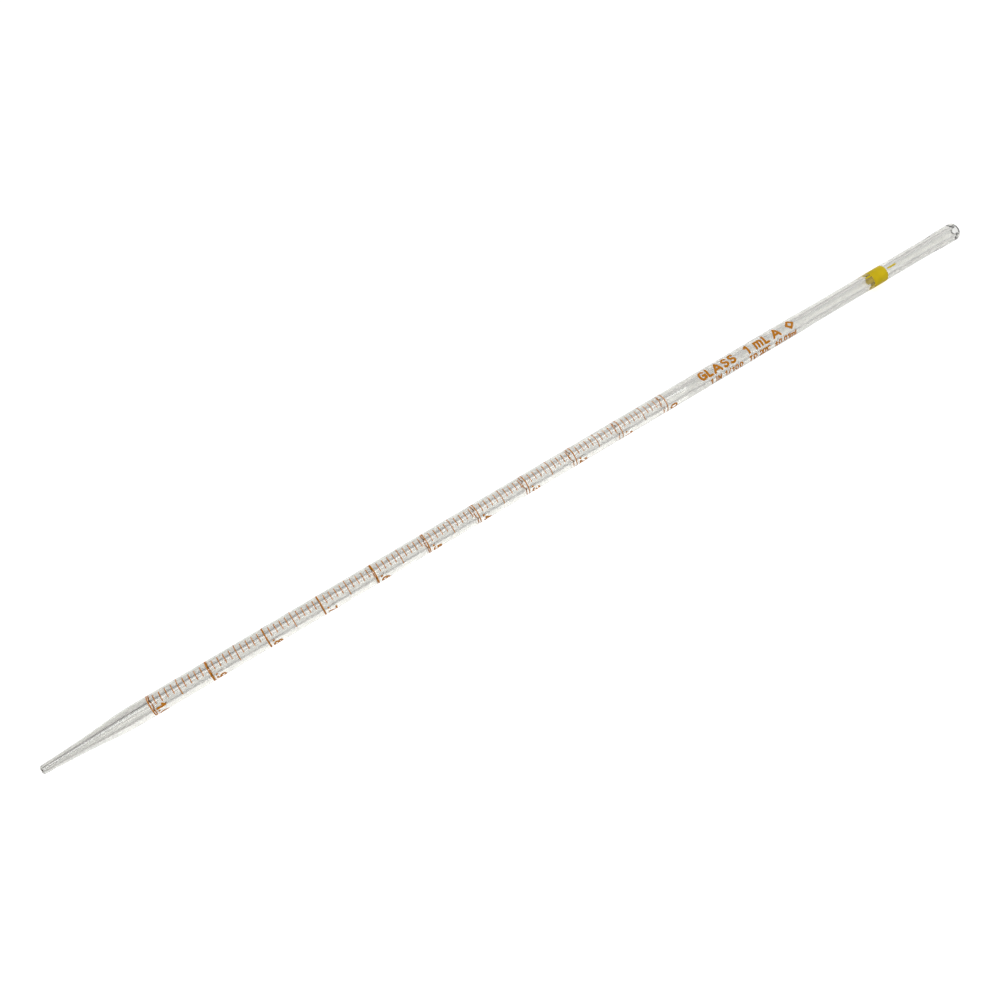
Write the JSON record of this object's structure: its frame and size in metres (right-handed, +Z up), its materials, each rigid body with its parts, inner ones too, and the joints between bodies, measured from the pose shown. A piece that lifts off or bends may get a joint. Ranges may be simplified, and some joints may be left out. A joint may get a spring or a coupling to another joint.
{
  "type": "graduated measuring pipette",
  "caption": "Straight glass measuring pipette with a drawn jet, a fire-polished mouth, fired enamel rings, lines and numerals, and a yellow colour-code band.",
  "frame": {"origin": "on the surface that the pipette lies on, under the tube's axis, half way between the end of the jet and the mouth", "axes": "+X along the tube towards the mouth, so the jet is at -X; +Z up, out of the middle of the printed scale; the numerals face -Y"},
  "size_m": [0.36, 0.0066, 0.0067],
  "materials": {
    "clear_glass": "clear drawn borosilicate, fire polished at both ends",
    "scale_enamel": "amber brown fired enamel, satin",
    "band_enamel": "yellow fired enamel, gloss"
  },
  "bodies": {
    "root": {"capacity_1": "scale_enamel", "capacity_A": "scale_enamel", "capacity_L": "scale_enamel", "capacity_m": "scale_enamel", "colour_band": "band_enamel", "glass_tube": "clear_glass", "major_ring_0_0": "scale_enamel", "major_ring_0_1": "scale_enamel", "major_ring_0_2": "scale_enamel", "major_ring_0_3": "scale_enamel", "major_ring_0_4": "scale_enamel", "major_ring_0_5": "scale_enamel", "major_ring_0_6": "scale_enamel", "major_ring_0_7": "scale_enamel", "major_ring_0_8": "scale_enamel", "major_ring_0_9": "scale_enamel", "major_ring_1_0": "scale_enamel", "medium_line_0_05": "scale_enamel", "medium_line_0_15": "scale_enamel", "medium_line_0_25": "scale_enamel", "medium_line_0_35": "scale_enamel", "medium_line_0_45": "scale_enamel", "medium_line_0_55": "scale_enamel", "medium_line_0_65": "scale_enamel", "medium_line_0_75": "scale_enamel", "medium_line_0_85": "scale_enamel", "medium_line_0_95": "scale_enamel", "numeral_0_0_digit_0": "scale_enamel", "numeral_0_1_digit_1": "scale_enamel", "numeral_0_1_point": "scale_enamel", "numeral_0_2_digit_2": "scale_enamel", "numeral_0_2_point": "scale_enamel", "numeral_0_3_digit_3": "scale_enamel", "numeral_0_3_point": "scale_enamel", "numeral_0_4_digit_4": "scale_enamel", "numeral_0_4_point": "scale_enamel", "numeral_0_5_digit_5": "scale_enamel", "numeral_0_5_point": "scale_enamel", "numeral_0_6_digit_6": "scale_enamel", "numeral_0_6_point": "scale_enamel", "numeral_0_7_digit_7": "scale_enamel", "numeral_0_7_point": "scale_enamel", "numeral_0_8_digit_8": "scale_enamel", "numeral_0_8_point": "scale_enamel", "numeral_0_9_digit_9": "scale_enamel", "numeral_0_9_point": "scale_enamel", "numeral_1_0_digit_0": "scale_enamel", "numeral_1_0_digit_1": "scale_enamel", "numeral_1_0_point": "scale_enamel"}
  },
  "joints": []
}
